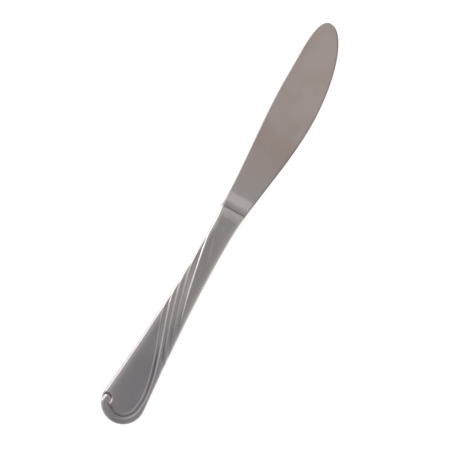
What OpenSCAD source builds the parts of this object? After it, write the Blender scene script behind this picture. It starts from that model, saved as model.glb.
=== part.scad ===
// Table knife with a hollow handle: a ground blade with its bolster, plug and tang, two struck
// half shells brazed along their seam, and the hard filler that holds the tang.
// It is drawn with the butt at X = 0, the tip towards +X, the spine towards +Y, the cutting
// edge towards -Y and the seam at Z = 0. place() then lays it on its back face.

/* [Length] */
// Handle, from the butt to the shoulder
handle_len = 117.4; // [100:0.1:130]
// Blade, from the shoulder to the tip
blade_len = 102.6; // [85:0.1:120]

/* [Handle outline] */
// Width of the round butt
butt_width = 21.5; // [18:0.1:25]
// Width of the neck
neck_width = 11.4; // [9:0.1:14]
// Width at the shoulder
shoulder_width = 13.3; // [11:0.1:16]
// Length of the flare between neck and shoulder
flare_len = 16.4; // [10:0.1:22]
// Length of the straight neck
neck_run = 4; // [1:0.1:10]
// How late the butt narrows to the neck: 1 is a straight taper
taper_power = 1.6; // [1.2:0.05:2]

/* [Handle section] */
// Thickness over the smooth panel
panel_thick = 8.4; // [7:0.1:10]
// Thickness of the neck
neck_thick = 7.2; // [6:0.1:9]
// Thickness at the shoulder
shoulder_thick = 8.2; // [6.5:0.1:9.5]
// Squareness of the section at the butt: 2 is an ellipse
butt_square = 5; // [2.5:0.1:6]
// Squareness of the section at the shoulder
neck_square = 3; // [2.2:0.1:4]
// How far the face of the handle rolls down to its mouth
mouth_roll = 0.6; // [0.2:0.05:0.9]
// Length over which it rolls down
mouth_roll_len = 5.2; // [3:0.1:8]
// Depth of the flat that the knife lies on, cut from the back panel
rest_cut = 0.08; // [0.03:0.01:0.12]

/* [Struck pattern] */
// Depth of the groove round the smooth panel
groove_depth = 0.4; // [0.2:0.05:0.6]
// Depth of the flutes between the ribs
flute_depth = 0.4; // [0.2:0.05:0.55]
// Height of the rim and the rib crests over the face
crest_height = 0.12; // [0.05:0.01:0.2]
// Width of the rim from the outline to the groove, at the butt
rim_width = 3.6; // [3:0.1:4.6]
// Width of the rim along the edge side
rim_side_width = 2.4; // [2.2:0.1:3.4]
// Width from the groove to the crest on either side of it
crest_gap = 1.15; // [0.8:0.05:1.3]
// Panel length: from the butt to where the first rib meets the spine side
panel_len = 69.5; // [62:0.5:76]
// Plain neck: from where the last rib meets the spine side to the shoulder
plain_len = 13.4; // [8:0.1:20]
// How far the first rib runs back from the spine side to the middle
rib_lean = 22; // [18:0.1:25]
// How much further the last rib runs back to the middle
last_rib_lean = 6.7; // [0:0.1:9]
// How far the second rib runs on from the middle to the edge side
rib_tail = 19; // [14:0.1:20]
// How much further the last rib runs on to the edge side
last_rib_tail = 5.3; // [0:0.1:7]
// How far the first rib is drawn back where it turns into the rim
rim_turn = 7; // [4:0.1:8]
// Radius of the curl that ends the rim on the spine side
curl_radius = 2.5; // [2:0.1:2.8]

/* [Shells and seam] */
// Wall of the half shells
shell_wall = 0.85; // [0.7:0.05:1]
// Thickness of the brazing metal in the seam
braze_thick = 0.1; // [0.05:0.01:0.2]

/* [Blade] */
// Width of the blade at the shoulder
root_width = 13.6; // [12:0.1:16]
// Height of the spine over the middle line of the handle
spine_height = 10.3; // [8:0.1:12]
// Depth of the belly under the middle line of the handle
belly_depth = 12; // [9:0.1:14]
// Distance from the shoulder to the deepest point of the belly
belly_at = 52; // [44:0.1:58]
// Length over which the spine rises
spine_rise_len = 68; // [50:0.5:80]
// Length of the rounded front of the spine
nose_len = 18; // [12:0.1:24]
// Height of the tip over the middle line of the handle
tip_height = 4.2; // [2:0.1:6]
// Thickness of the spine at the shoulder
spine_thick = 2; // [1.4:0.1:2.6]
// Thickness of the spine near the tip
tip_thick = 1.1; // [0.8:0.05:1.4]
// Thickness behind the cutting bevel
edge_thick = 0.5; // [0.3:0.05:0.7]
// Width of the cutting bevel
bevel_width = 0.8; // [0.5:0.05:1.2]

/* [Bolster and tang] */
// Thickness of the bolster where it meets the handle
bolster_thick = 4.8; // [4:0.1:6.2]
// Length over which the bolster runs out into the blade
runout_len = 8.6; // [5:0.1:12]
// Length of the plug inside the mouth of the handle
plug_len = 6; // [3:0.1:9]
// Clearance round the plug
plug_gap = 0.08; // [0.02:0.01:0.2]
// Length of the tang behind the plug
tang_len = 38; // [25:0.5:50]
// Width of the tang
tang_width = 5; // [3:0.1:7]
// Thickness of the tang
tang_thick = 2.4; // [1.6:0.1:3]

/* [Hidden] */

steel = "#918C88";
braze_colour = "#B9B08F";
filler_colour = "#8A7C66";

function mix(a, b, f) = a + (b - a) * f;
function clamp01(u) = max(0, min(1, u));
function smooth(u) = let (c = clamp01(u)) c * c * (3 - 2 * c);
function ramp(u, m) = let (c = clamp01(u)) m * c * (1 - c) * (1 - c) + c * c * (3 - 2 * c);

// Outline of the handle: a round butt, a taper that leaves it at a tangent, a neck and a flare
butt_r = butt_width / 2;
neck_half = neck_width / 2;
shoulder_half = shoulder_width / 2;
neck_end = handle_len - flare_len;
neck_start = neck_end - neck_run;
taper_turn = atan(taper_power * (butt_r - neck_half) / (neck_start - butt_r));
taper_x = butt_r * (1 + sin(taper_turn));
taper_half = butt_r * cos(taper_turn);
function half_width(x) =
    x < taper_x ? sqrt(max(0, butt_r * butt_r - (x - butt_r) * (x - butt_r)))
    : x < neck_start ?
        mix(neck_half, taper_half, pow((neck_start - x) / (neck_start - taper_x), taper_power))
    : mix(neck_half, shoulder_half, pow(max(0, x - neck_end) / flare_len, 2));

// Half thickness and squareness along the handle
roll_power = 1.6;
function half_thick(x) =
    x < butt_r ? panel_thick / 2
    : x < neck_start ?
        mix(neck_thick, panel_thick, pow((neck_start - x) / (neck_start - butt_r), taper_power)) / 2
    : mix(neck_thick, shoulder_thick, pow(max(0, x - neck_end) / flare_len, 2)) / 2
        - mouth_roll * pow(max(0, 1 - (handle_len - x) / mouth_roll_len), roll_power);
function squareness(x) = mix(butt_square, neck_square, smooth((x - butt_r) / (neck_end - butt_r)));

// Height of the plain face, drawn in by a wall: 0 is the outside and shell_wall is the inside
function face_z(x, y, wall) =
    let (reach = x < butt_r ? norm([x - butt_r, y]) / (butt_r - wall) : abs(y) / (half_width(x) - wall),
         p = squareness(x))
    (half_thick(x) - wall) * pow(max(0, 1 - pow(min(1, reach), p)), 1 / p);

// Grid of the struck face. Row 0 is the round end of the butt, and row last_row is the mouth.
// Column 0 is the edge-side outline, and column cols is the spine-side outline. The first rows
// lie over the round butt as nested half rings, so that a level of columns runs round the butt.
cols = 24;
mid_col = cols / 2;
cap_rows = mid_col;
groove_level = 5;
curl_row = cap_rows - 1;
panel_rows = 14;
groove_row = cap_rows + panel_rows + 2;
first_rib_row = groove_row + 2;
rib_count = 4;
rib_steps = [0.12, 0.45, 0.76, 0.87, 1];
rib_profile = [-0.12, -0.5, -0.95, -1, 0];
last_rib_row = first_rib_row + (rib_count - 1) * len(rib_steps);
neck_steps = [0.08, 0.2, 0.38, 0.56, 0.72, 0.84, 0.93, 1];
last_row = last_rib_row + len(neck_steps);

// Distance of each level from the outline, where the rim is this wide. The first levels round the
// edge over, and the others are the rim's crest, the groove and the crest on the panel's side.
side_inset = 0.25;
edge_inset = 0.9;
groove_side = 0.42 * crest_gap;
function level_inset(level, half, rim) =
    let (near = [0, side_inset, edge_inset, rim - crest_gap, rim - groove_side, rim, rim + groove_side,
                 rim + crest_gap],
         last = len(near) - 1)
    level <= last ? near[level] : mix(near[last], half, (level - last) / (mid_col - last));

// The round butt: the angle runs from 0 at the edge side through 90 at the end to 180
function cap_angle(row, col) =
    let (level = min(col, cols - col, row), side = cap_rows - level)
    level == mid_col ? 90
    : row == level ? 45 + 90 * (col - level) / (cols - 2 * level)
    : col == level ? 45 * (cap_rows - row) / side
    : 180 - 45 * (cap_rows - row) / side;
function cap_point(row, col) =
    let (turn = cap_angle(row, col), rim = mix(rim_side_width, rim_width, smooth(turn / 90)),
         r = butt_r - level_inset(min(col, cols - col, row), butt_r, rim))
    [butt_r - r * sin(turn), -r * cos(turn)];

// The ribs: where each crosses a column, given as -1 at the edge side to 1 at the spine side.
// The spacing grows along the handle, and only the last ribs lean more than the first.
rib_spacing = 1.5;
lean_growth = 4;
// A rib runs straight over the spine side and hooks forward at its outline
rib_straight = 0.78;
hook_power = 6;
// Where the first rib starts to turn into the rim on the edge side, and over what width
turn_from = 0.45;
turn_width = 0.32;
function rib_x(rib, v) =
    let (share = rib / (rib_count - 1),
         spine_x = mix(panel_len, handle_len - plain_len, pow(share, rib_spacing)),
         lean = rib_lean + last_rib_lean * pow(share, lean_growth),
         tail = rib_tail + last_rib_tail * share * share,
         turned = rib > 0 ? 0 : rim_turn * smooth((-v - turn_from) / turn_width),
         hooked = rib_straight + (1 - rib_straight) * pow(v, hook_power))
    spine_x - lean + (v > 0 ? lean * hooked : tail) * v - turned;
rib_half = mix(neck_half, butt_r, 0.4);
function column_reach(col) =
    let (v = 1 - level_inset(min(col, cols - col), rib_half, rim_side_width) / rib_half)
    col < mid_col ? -v : v;

// Where each row crosses each column, along the handle. The groove follows the first rib, which
// lies at this angle to the handle, and the rows of the panel crowd a little towards the butt.
rib_angle = 18;
groove_lag = crest_gap / sin(rib_angle);
groove_lags = [2, 1.42, 1, 0.58, 0];
panel_crowding = 1.2;
function row_x(row, col) =
    let (v = column_reach(col), from_crest = row - first_rib_row)
    from_crest <= -4 ? mix(butt_r, rib_x(0, v) - 2 * groove_lag,
                           pow((row - cap_rows) / panel_rows, panel_crowding))
    : from_crest <= 0 ? rib_x(0, v) - groove_lag * groove_lags[from_crest + 4]
    : row <= last_rib_row ?
        let (rib = floor((from_crest - 1) / len(rib_steps)),
             step = rib_steps[from_crest - 1 - rib * len(rib_steps)])
        mix(rib_x(rib, v), rib_x(rib + 1, v), step)
    : mix(rib_x(rib_count - 1, v), handle_len, neck_steps[row - last_rib_row - 1]);
function row_point(row, col) =
    let (x = row_x(row, col), half = half_width(x),
         rim = col < mid_col ? rim_side_width
             : mix(rim_width, rim_side_width, smooth((x - butt_r) / butt_r)),
         y = half - level_inset(min(col, cols - col), half, rim))
    [x, col < mid_col ? -y : y];

// The curl swells the grid round its middle, so that the groove bends round it
curl_at = [butt_r - curl_radius, butt_r - curl_radius - 0.3];
curl_swell = 0.5;
curl_levels = 3;
function swollen(p, level) =
    let (away = p - curl_at, far = norm(away) / curl_radius)
    curl_at + away * (1 + curl_swell * clamp01(level / curl_levels) * exp(-far * far));
function grid_xy(row, col) =
    row < cap_rows ? swollen(cap_point(row, col), min(col, cols - col, row))
    : swollen(row_point(row, col), min(col, cols - col));

// Steps from the groove: 0 in it, above 0 on the panel, below 0 on the rim, the curl and the ribs
function steps_in(row, col) =
    min(col - groove_level, row - groove_level, groove_row - row,
        max(cols - groove_level - col, row - curl_row));
groove_side_share = 0.35;
function groove_relief(steps) =
    steps == 0 ? -groove_depth
    : abs(steps) == 1 ? -groove_depth * groove_side_share
    : abs(steps) == 2 ? crest_height
    : 0;
// The relief fades out over the edge of the handle, and behind the last rib over the neck
edge_fade = [0, 0.3, 0.75, 1];
neck_fade_rows = 4;
function relief(row, col) =
    let (level = min(col, cols - col, row), fade = edge_fade[min(level, len(edge_fade) - 1)])
    row <= first_rib_row ? fade * groove_relief(steps_in(row, col))
    : row <= last_rib_row ?
        fade * (crest_height + flute_depth * rib_profile[(row - first_rib_row - 1) % len(rib_steps)])
    : fade * crest_height * (1 - smooth((row - last_rib_row) / neck_fade_rows));

seam_z = braze_thick / 2;
function grid_point(row, col) =
    let (p = grid_xy(row, col))
    min(col, cols - col, row) == 0 ? [p.x, p.y, seam_z]
    : [p.x, p.y, max(seam_z, face_z(p.x, p.y, 0) + relief(row, col))];

// Inner face: square rows from the mouth to the round end of the hollow
in_cols = 12;
hollow_r = butt_r - shell_wall;
plug_x = handle_len - plug_len;
mouth_rows = 3;
body_rows = 20;
end_rows = 8;
end_angle = 6;
inner_last = mouth_rows + body_rows + end_rows;
function inner_row_x(row) =
    row <= mouth_rows ? mix(handle_len, plug_x, row / mouth_rows)
    : row <= mouth_rows + body_rows ? mix(plug_x, butt_r, (row - mouth_rows) / body_rows)
    : butt_r - hollow_r * cos(mix(90, end_angle, (row - mouth_rows - body_rows) / end_rows));
function inner_half(x) =
    x < butt_r ? sqrt(max(0, hollow_r * hollow_r - (x - butt_r) * (x - butt_r)))
    : min(half_width(x) - shell_wall, hollow_r);
function inner_point(row, col) =
    let (x = inner_row_x(row), half = inner_half(x), y = -half * cos(180 * col / in_cols))
    col == 0 || col == in_cols ? [x, y, seam_z] : [x, y, max(seam_z, face_z(x, y, shell_wall))];

// Distance of a point of the seam along the outline, from the mouth round the butt
function seam_key(p) =
    let (straight = handle_len - butt_r)
    p.x < butt_r ? straight + PI * butt_r * (90 - atan2(p.y, butt_r - p.x)) / 180
    : p.y > 0 ? handle_len - p.x
    : straight + PI * butt_r + p.x - butt_r;

// Triangles between two chains of points, stepping along whichever is behind
function zip(a, b, a_keys, b_keys, i = 0, j = 0, made = []) =
    i == len(a) - 1 && j == len(b) - 1 ? made
    : let (step_a = j == len(b) - 1 || (i < len(a) - 1 && a_keys[i + 1] <= b_keys[j + 1]))
    step_a ? zip(a, b, a_keys, b_keys, i + 1, j, concat(made, [[a[i], a[i + 1], b[j]]]))
    : zip(a, b, a_keys, b_keys, i, j + 1, concat(made, [[a[i], b[j + 1], b[j]]]));

// Triangles of a sheet of rows and columns whose first point has this number
function sheet(rows, row_len, first = 0) =
    [for (r = [0:rows - 1], c = [0:row_len - 2])
        let (p = first + r * row_len + c)
        each [[p, p + 1, p + row_len + 1], [p, p + row_len + 1, p + row_len]]];
function turned_over(faces) = [for (f = faces) [for (i = [len(f) - 1:-1:0]) f[i]]];
function numbers(from, to, step = 1) = [for (i = [from:step:to]) i];

// The seam's outer and inner chains, as [row, column] from the mouth round the butt and back
outer_chain = concat([for (r = [last_row:-1:0]) [r, cols]], [for (c = [cols - 1:-1:1]) [0, c]],
                     [for (r = [0:last_row]) [r, 0]]);
inner_chain = concat([for (r = [0:inner_last]) [r, in_cols]], [for (r = [inner_last:-1:0]) [r, 0]]);
outer_seam = [for (n = outer_chain) grid_point(n[0], n[1])];
inner_seam = [for (n = inner_chain) inner_point(n[0], n[1])];
outer_keys = [for (p = outer_seam) seam_key(p)];
inner_keys = [for (p = inner_seam) seam_key(p)];

// One half shell, above the seam: outer face, hollow, seam face, mouth and the hollow's end
module half_shell() {
    outer = [for (r = [0:last_row], c = [0:cols]) grid_point(r, c)];
    inner = [for (r = [0:inner_last], c = [0:in_cols]) inner_point(r, c)];
    first = len(outer);
    seam = zip([for (n = outer_chain) n[0] * (cols + 1) + n[1]],
               [for (n = inner_chain) first + n[0] * (in_cols + 1) + n[1]], outer_keys, inner_keys);
    mouth_a = [for (c = [0:cols]) last_row * (cols + 1) + c];
    mouth_b = [for (c = [0:in_cols]) first + c];
    mouth = zip(mouth_a, mouth_b, [for (i = mouth_a) outer[i].y / shoulder_half],
                [for (i = mouth_b) inner[i - first].y / inner_half(handle_len)]);
    hollow_end = [for (c = [0:in_cols]) first + inner_last * (in_cols + 1) + c];
    polyhedron(concat(outer, inner),
               concat(sheet(last_row, cols + 1), sheet(inner_last, in_cols + 1, first), seam, mouth,
                      [hollow_end]), convexity = 6);
}

// A closed loft through rings with the same number of points, from low X to high X
module loft(rings) {
    n = len(rings[0]);
    polyhedron([for (ring = rings) each ring],
               concat([[for (i = [n:-1:1]) i % n]],
                      [for (r = [0:len(rings) - 2], i = [0:n - 1])
                          let (a = r * n + i, b = r * n + (i + 1) % n)
                          each [[a, b + n, a + n], [a, b, b + n]]],
                      [[for (i = [0:n - 1]) (len(rings) - 1) * n + i]]), convexity = 6);
}
// A ring from its upper points, which run from the edge side to the spine side
function closed_ring(upper) =
    concat(upper, [for (i = [len(upper) - 2:-1:1]) [upper[i].x, upper[i].y, -upper[i].z]]);

// Outline of the blade, by the distance from the shoulder
root_half = root_width / 2;
nose_at = blade_len - nose_len;
tip_share = 0.997;
nose_power = 2.6;
belly_power = 1.9;
function spine_y(b) =
    let (u = clamp01((b - nose_at) / nose_len) * tip_share,
         top = mix(root_half, spine_height, ramp(b / spine_rise_len, 0)))
    mix(tip_height, top, pow(1 - pow(u, nose_power), 1 / nose_power));
function edge_y(b) =
    let (u = clamp01((b - belly_at) / (blade_len - belly_at)) * tip_share,
         low = -mix(root_half, belly_depth, ramp(b / belly_at, 1)))
    mix(tip_height, low, pow(1 - pow(u, belly_power), 1 / belly_power));

// Half thickness of the blade, and of the bolster that runs out into it
grind_power = 0.7;
bolster_square = 3;
runout_power = 1.4;
function plate_z(b, y) =
    let (s = clamp01((y - edge_y(b)) / (spine_y(b) - edge_y(b))),
         spine_z = mix(spine_thick, tip_thick, b / blade_len) / 2)
    mix(edge_thick / 2, spine_z, pow(s, grind_power));
function bolster_z(b, y) =
    let (s = clamp01((y - edge_y(b)) / (spine_y(b) - edge_y(b))))
    bolster_thick / 2 * pow(max(0, 1 - pow(abs(2 * s - 1), bolster_square)), 1 / bolster_square);
function blade_z(b, y) =
    mix(plate_z(b, y), max(plate_z(b, y), bolster_z(b, y)),
        1 - smooth(pow(clamp01(b / runout_len), runout_power)));
// A ring of the blade: the bevel, the flat of the grind and the rounded corner of the spine
corner_width = 0.35;
corner_inset = 0.05;
corner_share = 0.7;
function blade_ring(b) =
    let (low = edge_y(b), high = spine_y(b), near = min(1, (high - low) / (4 * bevel_width)),
         from = low + bevel_width * near, to = high - corner_width * near,
         ys = concat([low], [for (c = [1:in_cols - 2]) mix(from, to, (c - 1) / (in_cols - 3))],
                     [high - corner_inset * near, high]))
    closed_ring([for (c = [0:in_cols])
        [handle_len + b, ys[c], c == 0 || c == in_cols ? 0
         : blade_z(b, ys[c]) * (c == in_cols - 1 ? corner_share : 1)]]);

// The plug follows the mouth of the handle, and the tang is a flat bar behind it
least_thick = 0.01;
function plug_ring(row) =
    let (x = inner_row_x(row), half = inner_half(x) - plug_gap)
    closed_ring([for (c = [0:in_cols])
        let (turn = 180 * c / in_cols, y = inner_point(row, c).y)
        [x, -half * cos(turn), c == 0 || c == in_cols ? 0
         : max(least_thick, face_z(x, y, shell_wall) - plug_gap)]]);
function tang_ring(x) =
    closed_ring([for (c = [0:in_cols])
        [x, -tang_width / 2 * max(-1, min(1, cos(180 * c / in_cols) / cos(180 / in_cols))),
         c == 0 || c == in_cols ? 0 : tang_thick / 2]]);

root_steps = [0, 0.12, 0.25, 0.38, 0.52, 0.68, 0.84, 1];
plate_rings = 18;
nose_rings = 12;
blade_steps = concat([for (s = root_steps) s * runout_len],
                     [for (i = [1:plate_rings]) mix(runout_len, nose_at, i / plate_rings)],
                     [for (i = [1:nose_rings]) nose_at + nose_len * sin(90 * i / nose_rings)]);

module place() {
    translate([-(handle_len + blade_len) / 2, (belly_depth - butt_r) / 2, panel_thick / 2 - rest_cut])
        children();
}

module blade() {
    color(steel) place()
        loft(concat([tang_ring(plug_x - tang_len), tang_ring(plug_x)],
                    [for (r = [mouth_rows:-1:0]) plug_ring(r)], [for (b = blade_steps) blade_ring(b)]));
}
module handle_shell_front() {
    color(steel) place() half_shell();
}
module handle_shell_back() {
    color(steel) place()
        difference() {
            mirror([0, 0, 1]) half_shell();
            translate([0, -butt_width, -panel_thick])
                cube([handle_len, 2 * butt_width, panel_thick / 2 + rest_cut]);
        }
}
module handle_filler() {
    color(filler_colour) place()
        difference() {
            loft([for (r = [inner_last:-1:mouth_rows])
                let (upper = [for (c = [0:in_cols]) inner_point(r, c)])
                concat(upper, [for (i = [in_cols:-1:0]) [upper[i].x, upper[i].y, -upper[i].z]])]);
            translate([plug_x - tang_len, -tang_width / 2, -tang_thick / 2])
                cube([tang_len + 1, tang_width, tang_thick]);
        }
}
module seam_braze() {
    a = len(outer_seam);
    b = len(inner_seam);
    down = [0, 0, -braze_thick];
    top = zip(numbers(0, a - 1), numbers(a, a + b - 1), outer_keys, inner_keys);
    under = [for (f = top) f + (a + b) * [1, 1, 1]];
    side = [for (i = [0:a - 2]) each [[i, i + 1, i + 1 + a + b], [i, i + 1 + a + b, i + a + b]]];
    inside = [for (i = [a:a + b - 2]) each [[i, i + a + b, i + 1], [i + 1, i + a + b, i + 1 + a + b]]];
    ends = [[a, 0, a + b, 2 * a + b], [a - 1, a + b - 1, 2 * (a + b) - 1, 2 * a + b - 1]];
    color(braze_colour) place()
        polyhedron(concat(outer_seam, inner_seam, [for (p = outer_seam) p + down],
                          [for (p = inner_seam) p + down]),
                   concat(turned_over(top), under, side, inside, ends), convexity = 6);
}

blade();
handle_shell_front();
handle_shell_back();
handle_filler();
seam_braze();
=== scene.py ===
"""Looks of a table knife: two struck handle shells and a ground blade, in a plain pale studio.

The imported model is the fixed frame. The shells and the blade are modelled again here as finer
meshes on the same drawing, and the filler and the brazing metal keep their solids.
Lengths of the drawing are in millimetres, with the butt at X = 0, the tip towards +X, the spine
towards +Y and the seam at Z = 0.
"""

from __future__ import annotations

import logging
import math
from dataclasses import dataclass, field
from enum import Enum
from typing import Any, Callable

import bpy
import numpy as np
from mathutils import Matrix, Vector

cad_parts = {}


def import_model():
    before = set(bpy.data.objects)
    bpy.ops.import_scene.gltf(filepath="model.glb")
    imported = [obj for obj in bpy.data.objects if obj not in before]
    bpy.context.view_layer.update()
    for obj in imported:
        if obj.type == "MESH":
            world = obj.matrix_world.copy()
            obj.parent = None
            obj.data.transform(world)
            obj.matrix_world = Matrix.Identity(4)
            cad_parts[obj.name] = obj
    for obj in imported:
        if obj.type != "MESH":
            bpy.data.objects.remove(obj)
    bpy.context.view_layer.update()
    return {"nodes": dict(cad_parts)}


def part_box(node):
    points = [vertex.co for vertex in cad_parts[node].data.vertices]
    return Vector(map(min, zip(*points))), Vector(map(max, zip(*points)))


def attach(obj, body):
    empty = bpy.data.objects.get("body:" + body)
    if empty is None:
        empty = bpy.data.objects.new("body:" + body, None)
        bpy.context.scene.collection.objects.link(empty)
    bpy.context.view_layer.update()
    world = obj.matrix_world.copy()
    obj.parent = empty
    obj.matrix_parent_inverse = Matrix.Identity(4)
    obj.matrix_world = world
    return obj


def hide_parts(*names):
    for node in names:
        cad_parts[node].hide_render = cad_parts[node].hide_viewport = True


LOG = logging.getLogger("table_knife")
MM = 0.001
# Least divisor, so that nothing is divided by zero
TINY = 1e-6
# Distance in metres over which points are merged, the least that Blender takes
WELD_REACH = 1e-6
# Attribute of the shade painted into the recesses, the mouth and the blade's joint and bevel, from 0 on
# clean metal to 1
RECESS_SHADE = "recess_shade"
Array = np.ndarray
Piece = bpy.types.Object
Tree = bpy.types.NodeTree
Socket = bpy.types.NodeSocket


def srgb(code: str) -> tuple[float, float, float, float]:
    """Turn a hex sRGB colour into linear RGBA.

    Args:
        code: Six hex digits after a hash sign.

    Returns:
        The linear colour with full alpha.
    """
    parts = [int(code[i : i + 2], 16) / 255 for i in (1, 3, 5)]
    linear = [c / 12.92 if c <= 0.04045 else ((c + 0.055) / 1.055) ** 2.4 for c in parts]
    return (linear[0], linear[1], linear[2], 1.0)


def add_node(
    tree: Tree, kind: str, inputs: dict[str | int, Any] | None = None, **settings: Any
) -> bpy.types.Node:
    """Add a shader node with its settings and its inputs.

    Args:
        tree: The node tree that gets the node.
        kind: Blender's name for the node's type.
        inputs: Values or output sockets by the name or number of the input.
        settings: Properties of the node by name.

    Returns:
        The new node.
    """
    node = tree.nodes.new(kind)
    for name, value in settings.items():
        setattr(node, name, value)
    for name, value in (inputs or {}).items():
        if isinstance(value, Socket):
            tree.links.new(value, node.inputs[name])
        else:
            node.inputs[name].default_value = value
    return node


def mix(low: Any, high: Any, share: Any) -> Any:
    """Blend two values."""
    return low + (high - low) * share


def smooth(share: Any) -> Any:
    """Ease a share from 0 to 1, held at both ends."""
    held = np.clip(share, 0.0, 1.0)
    return held * held * (3 - 2 * held)


def ease(value: Any, start: float, end: float) -> Any:
    """Ease from 0 at the start to 1 at the end, held beyond both."""
    return smooth((value - start) / (end - start))


def ramp(share: Any, start: float, end: float) -> Any:
    """Rise from 0 to 1 with a given slope at each end.

    Args:
        share: Where along the rise, from 0 to 1.
        start: Slope at the start, where 1 is a straight rise.
        end: Slope at the end.

    Returns:
        The risen share.
    """
    return (
        start * share * (1 - share) ** 2
        + share * share * (3 - 2 * share)
        - end * share * share * (1 - share)
    )


def smooth_least(a: Array, b: Array, width: float) -> Array:
    """Take the lesser of two fields with a rounded corner of this width."""
    near = np.clip(0.5 + 0.5 * (b - a) / width, 0.0, 1.0)
    return b * (1 - near) + a * near - width * near * (1 - near)


class Face(Enum):
    """The two faces of the handle, with the sign of their height over the seam."""

    FRONT = 1
    BACK = -1


@dataclass
class Drawing:
    """Where the drawing lies in the row frame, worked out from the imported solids."""

    handle_len: float = field(init=False)
    blade_len: float = field(init=False)
    centre_y: float = field(init=False)
    seam_z: float = field(init=False)
    start_x: float = field(init=False)

    def __post_init__(self) -> None:
        """Read the solids' boxes."""
        low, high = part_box("handle_shell_front")
        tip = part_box("blade")[1]
        seam_low, seam_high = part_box("seam_braze")
        self.start_x = low.x / MM
        self.handle_len = (high.x - low.x) / MM
        self.blade_len = (tip.x - high.x) / MM
        self.centre_y = (low.y + high.y) / 2 / MM
        self.seam_z = (seam_low.z + seam_high.z) / 2 / MM

    def placed(self, points: Array) -> Array:
        """Move points of the drawing into the row frame, in metres."""
        return (points + np.array([self.start_x, self.centre_y, self.seam_z])) * MM


@dataclass
class HandleForm:
    """Plain form of the handle, without the struck pattern."""

    length: float
    # Outline in plan
    butt_r: float = 10.75
    neck_half: float = 5.7
    shoulder_half: float = 6.65
    flare_len: float = 16.4
    neck_run: float = 4.0
    taper_power: float = 1.6
    # Thickness of both shells together
    panel_thick: float = 8.4
    neck_thick: float = 7.2
    shoulder_thick: float = 8.2
    # Power of the section: beside the panel, over the rim, and elsewhere
    panel_square: float = 6.0
    rim_square: float = 13.0
    plain_square: float = 5.5
    # Where the rim's flat top starts, by the turn round the butt, and ends, along the handle
    rim_turn_deg: tuple[float, float] = (8.0, 42.0)
    rim_fade: tuple[float, float] = (16.0, 38.0)
    # Fall of the face to the cutting edge's side, as a share of the thickness
    edge_fall: float = 0.1
    edge_fall_power: float = 2.8

    def __post_init__(self) -> None:
        """Work out where the round butt, the taper and the neck meet."""
        self.neck_end = self.length - self.flare_len
        self.neck_start = self.neck_end - self.neck_run
        drop = self.taper_power * (self.butt_r - self.neck_half)
        turn = math.atan(drop / (self.neck_start - self.butt_r))
        self.taper_x = self.butt_r * (1 + math.sin(turn))
        self.taper_half = self.butt_r * math.cos(turn)

    def half_width(self, x: Array) -> Array:
        """Half the width of the outline.

        Args:
            x: Place along the handle.

        Returns:
            The half width.
        """
        round_part = np.sqrt(np.maximum(0, self.butt_r**2 - (x - self.butt_r) ** 2))
        back = np.clip((self.neck_start - x) / (self.neck_start - self.taper_x), 0, None)
        taper = mix(self.neck_half, self.taper_half, back**self.taper_power)
        on = np.clip((x - self.neck_end) / self.flare_len, 0, None)
        flare = mix(self.neck_half, self.shoulder_half, on**2)
        return np.where(x < self.taper_x, round_part, np.where(x < self.neck_start, taper, flare))

    def half_thick(self, x: Array) -> Array:
        """Half the thickness along the middle line.

        Args:
            x: Place along the handle.

        Returns:
            The half thickness.
        """
        back = np.clip((self.neck_start - x) / (self.neck_start - self.butt_r), 0, 1)
        taper = mix(self.neck_thick, self.panel_thick, back**self.taper_power)
        on = np.clip((x - self.neck_end) / self.flare_len, 0, None)
        flare = mix(self.neck_thick, self.shoulder_thick, on**2)
        return np.where(x < self.neck_start, taper, flare) / 2

    def squareness(self, x: Array, turn: Array) -> Array:
        """Power of the section, where 2 is an ellipse.

        Args:
            x: Place along the handle.
            turn: Turn round the butt, from 0 at the spine side to pi at the edge side.

        Returns:
            The power, highest along the rim, whose top is struck flat.
        """
        first, last = (math.radians(angle) for angle in self.rim_turn_deg)
        on_rim = ease(turn, first, last) * (1 - ease(x, *self.rim_fade))
        panel = mix(self.plain_square, self.panel_square, smooth(turn / math.pi))
        return mix(mix(panel, self.rim_square, on_rim), self.plain_square, self.towards_neck(x))

    def towards_neck(self, x: Array) -> Array:
        """How far the section has changed from that of the panel to that of the neck, from 0 to 1."""
        return ease(x, self.butt_r, self.neck_end)

    def edge_drop(self, x: Array, v: Array) -> Array:
        """Share of the thickness by which the face falls away on the edge side, where v is below 0."""
        return self.edge_fall * self.towards_neck(x) * np.clip(-v, 0, 1) ** self.edge_fall_power


@dataclass(frozen=True)
class Rib:
    """One struck rib, which crosses the handle from the edge side to the spine side.

    The slopes say how it leaves the edge side and comes to the spine side, where 1 is straight.
    The depths are those of the flute on its butt side, at the edge side, the middle and the
    spine side. The wall is the width of the step from the flute up to the crest, and the painted
    shades are the levels of shade painted at its foot, on the edge side and on the spine side.
    The painted shade grows from the middle line until shade_over, and is lost again between the
    two places of shade_end. Both are shares of the half width.
    """

    edge_at: float
    spine_at: float
    start_slope: float
    end_slope: float
    depths: tuple[float, float, float]
    painted_shades: tuple[float, float]
    wall: float = 1.5
    shade_over: float = 0.5
    shade_end: tuple[float, float] = (0.6, 0.85)

    def across(self, x: Array) -> Array:
        """Where the crest lies across the handle.

        Args:
            x: Place along the handle.

        Returns:
            The place, from -1 at the edge side to 1 at the spine side.
        """
        share = (x - self.edge_at) / (self.spine_at - self.edge_at)
        held = np.clip(share, 0, 1)
        beyond = np.minimum(share, 0) * self.start_slope + np.maximum(share - 1, 0) * self.end_slope
        return 2 * (ramp(held, self.start_slope, self.end_slope) + beyond) - 1

    def depth(self, v: Array) -> Array:
        """Depth of the flute on its butt side."""
        edge, middle, spine = self.depths
        return np.where(v < 0, mix(middle, edge, smooth(-v)), mix(middle, spine, smooth(v)))

    def painted_shade(self, v: Array) -> Array:
        """Painted shade at the foot of its wall."""
        clean = ease(np.abs(v), *self.shade_end)
        return np.where(v < 0, *self.painted_shades) * smooth(np.abs(v) / self.shade_over) * (1 - clean)


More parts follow.
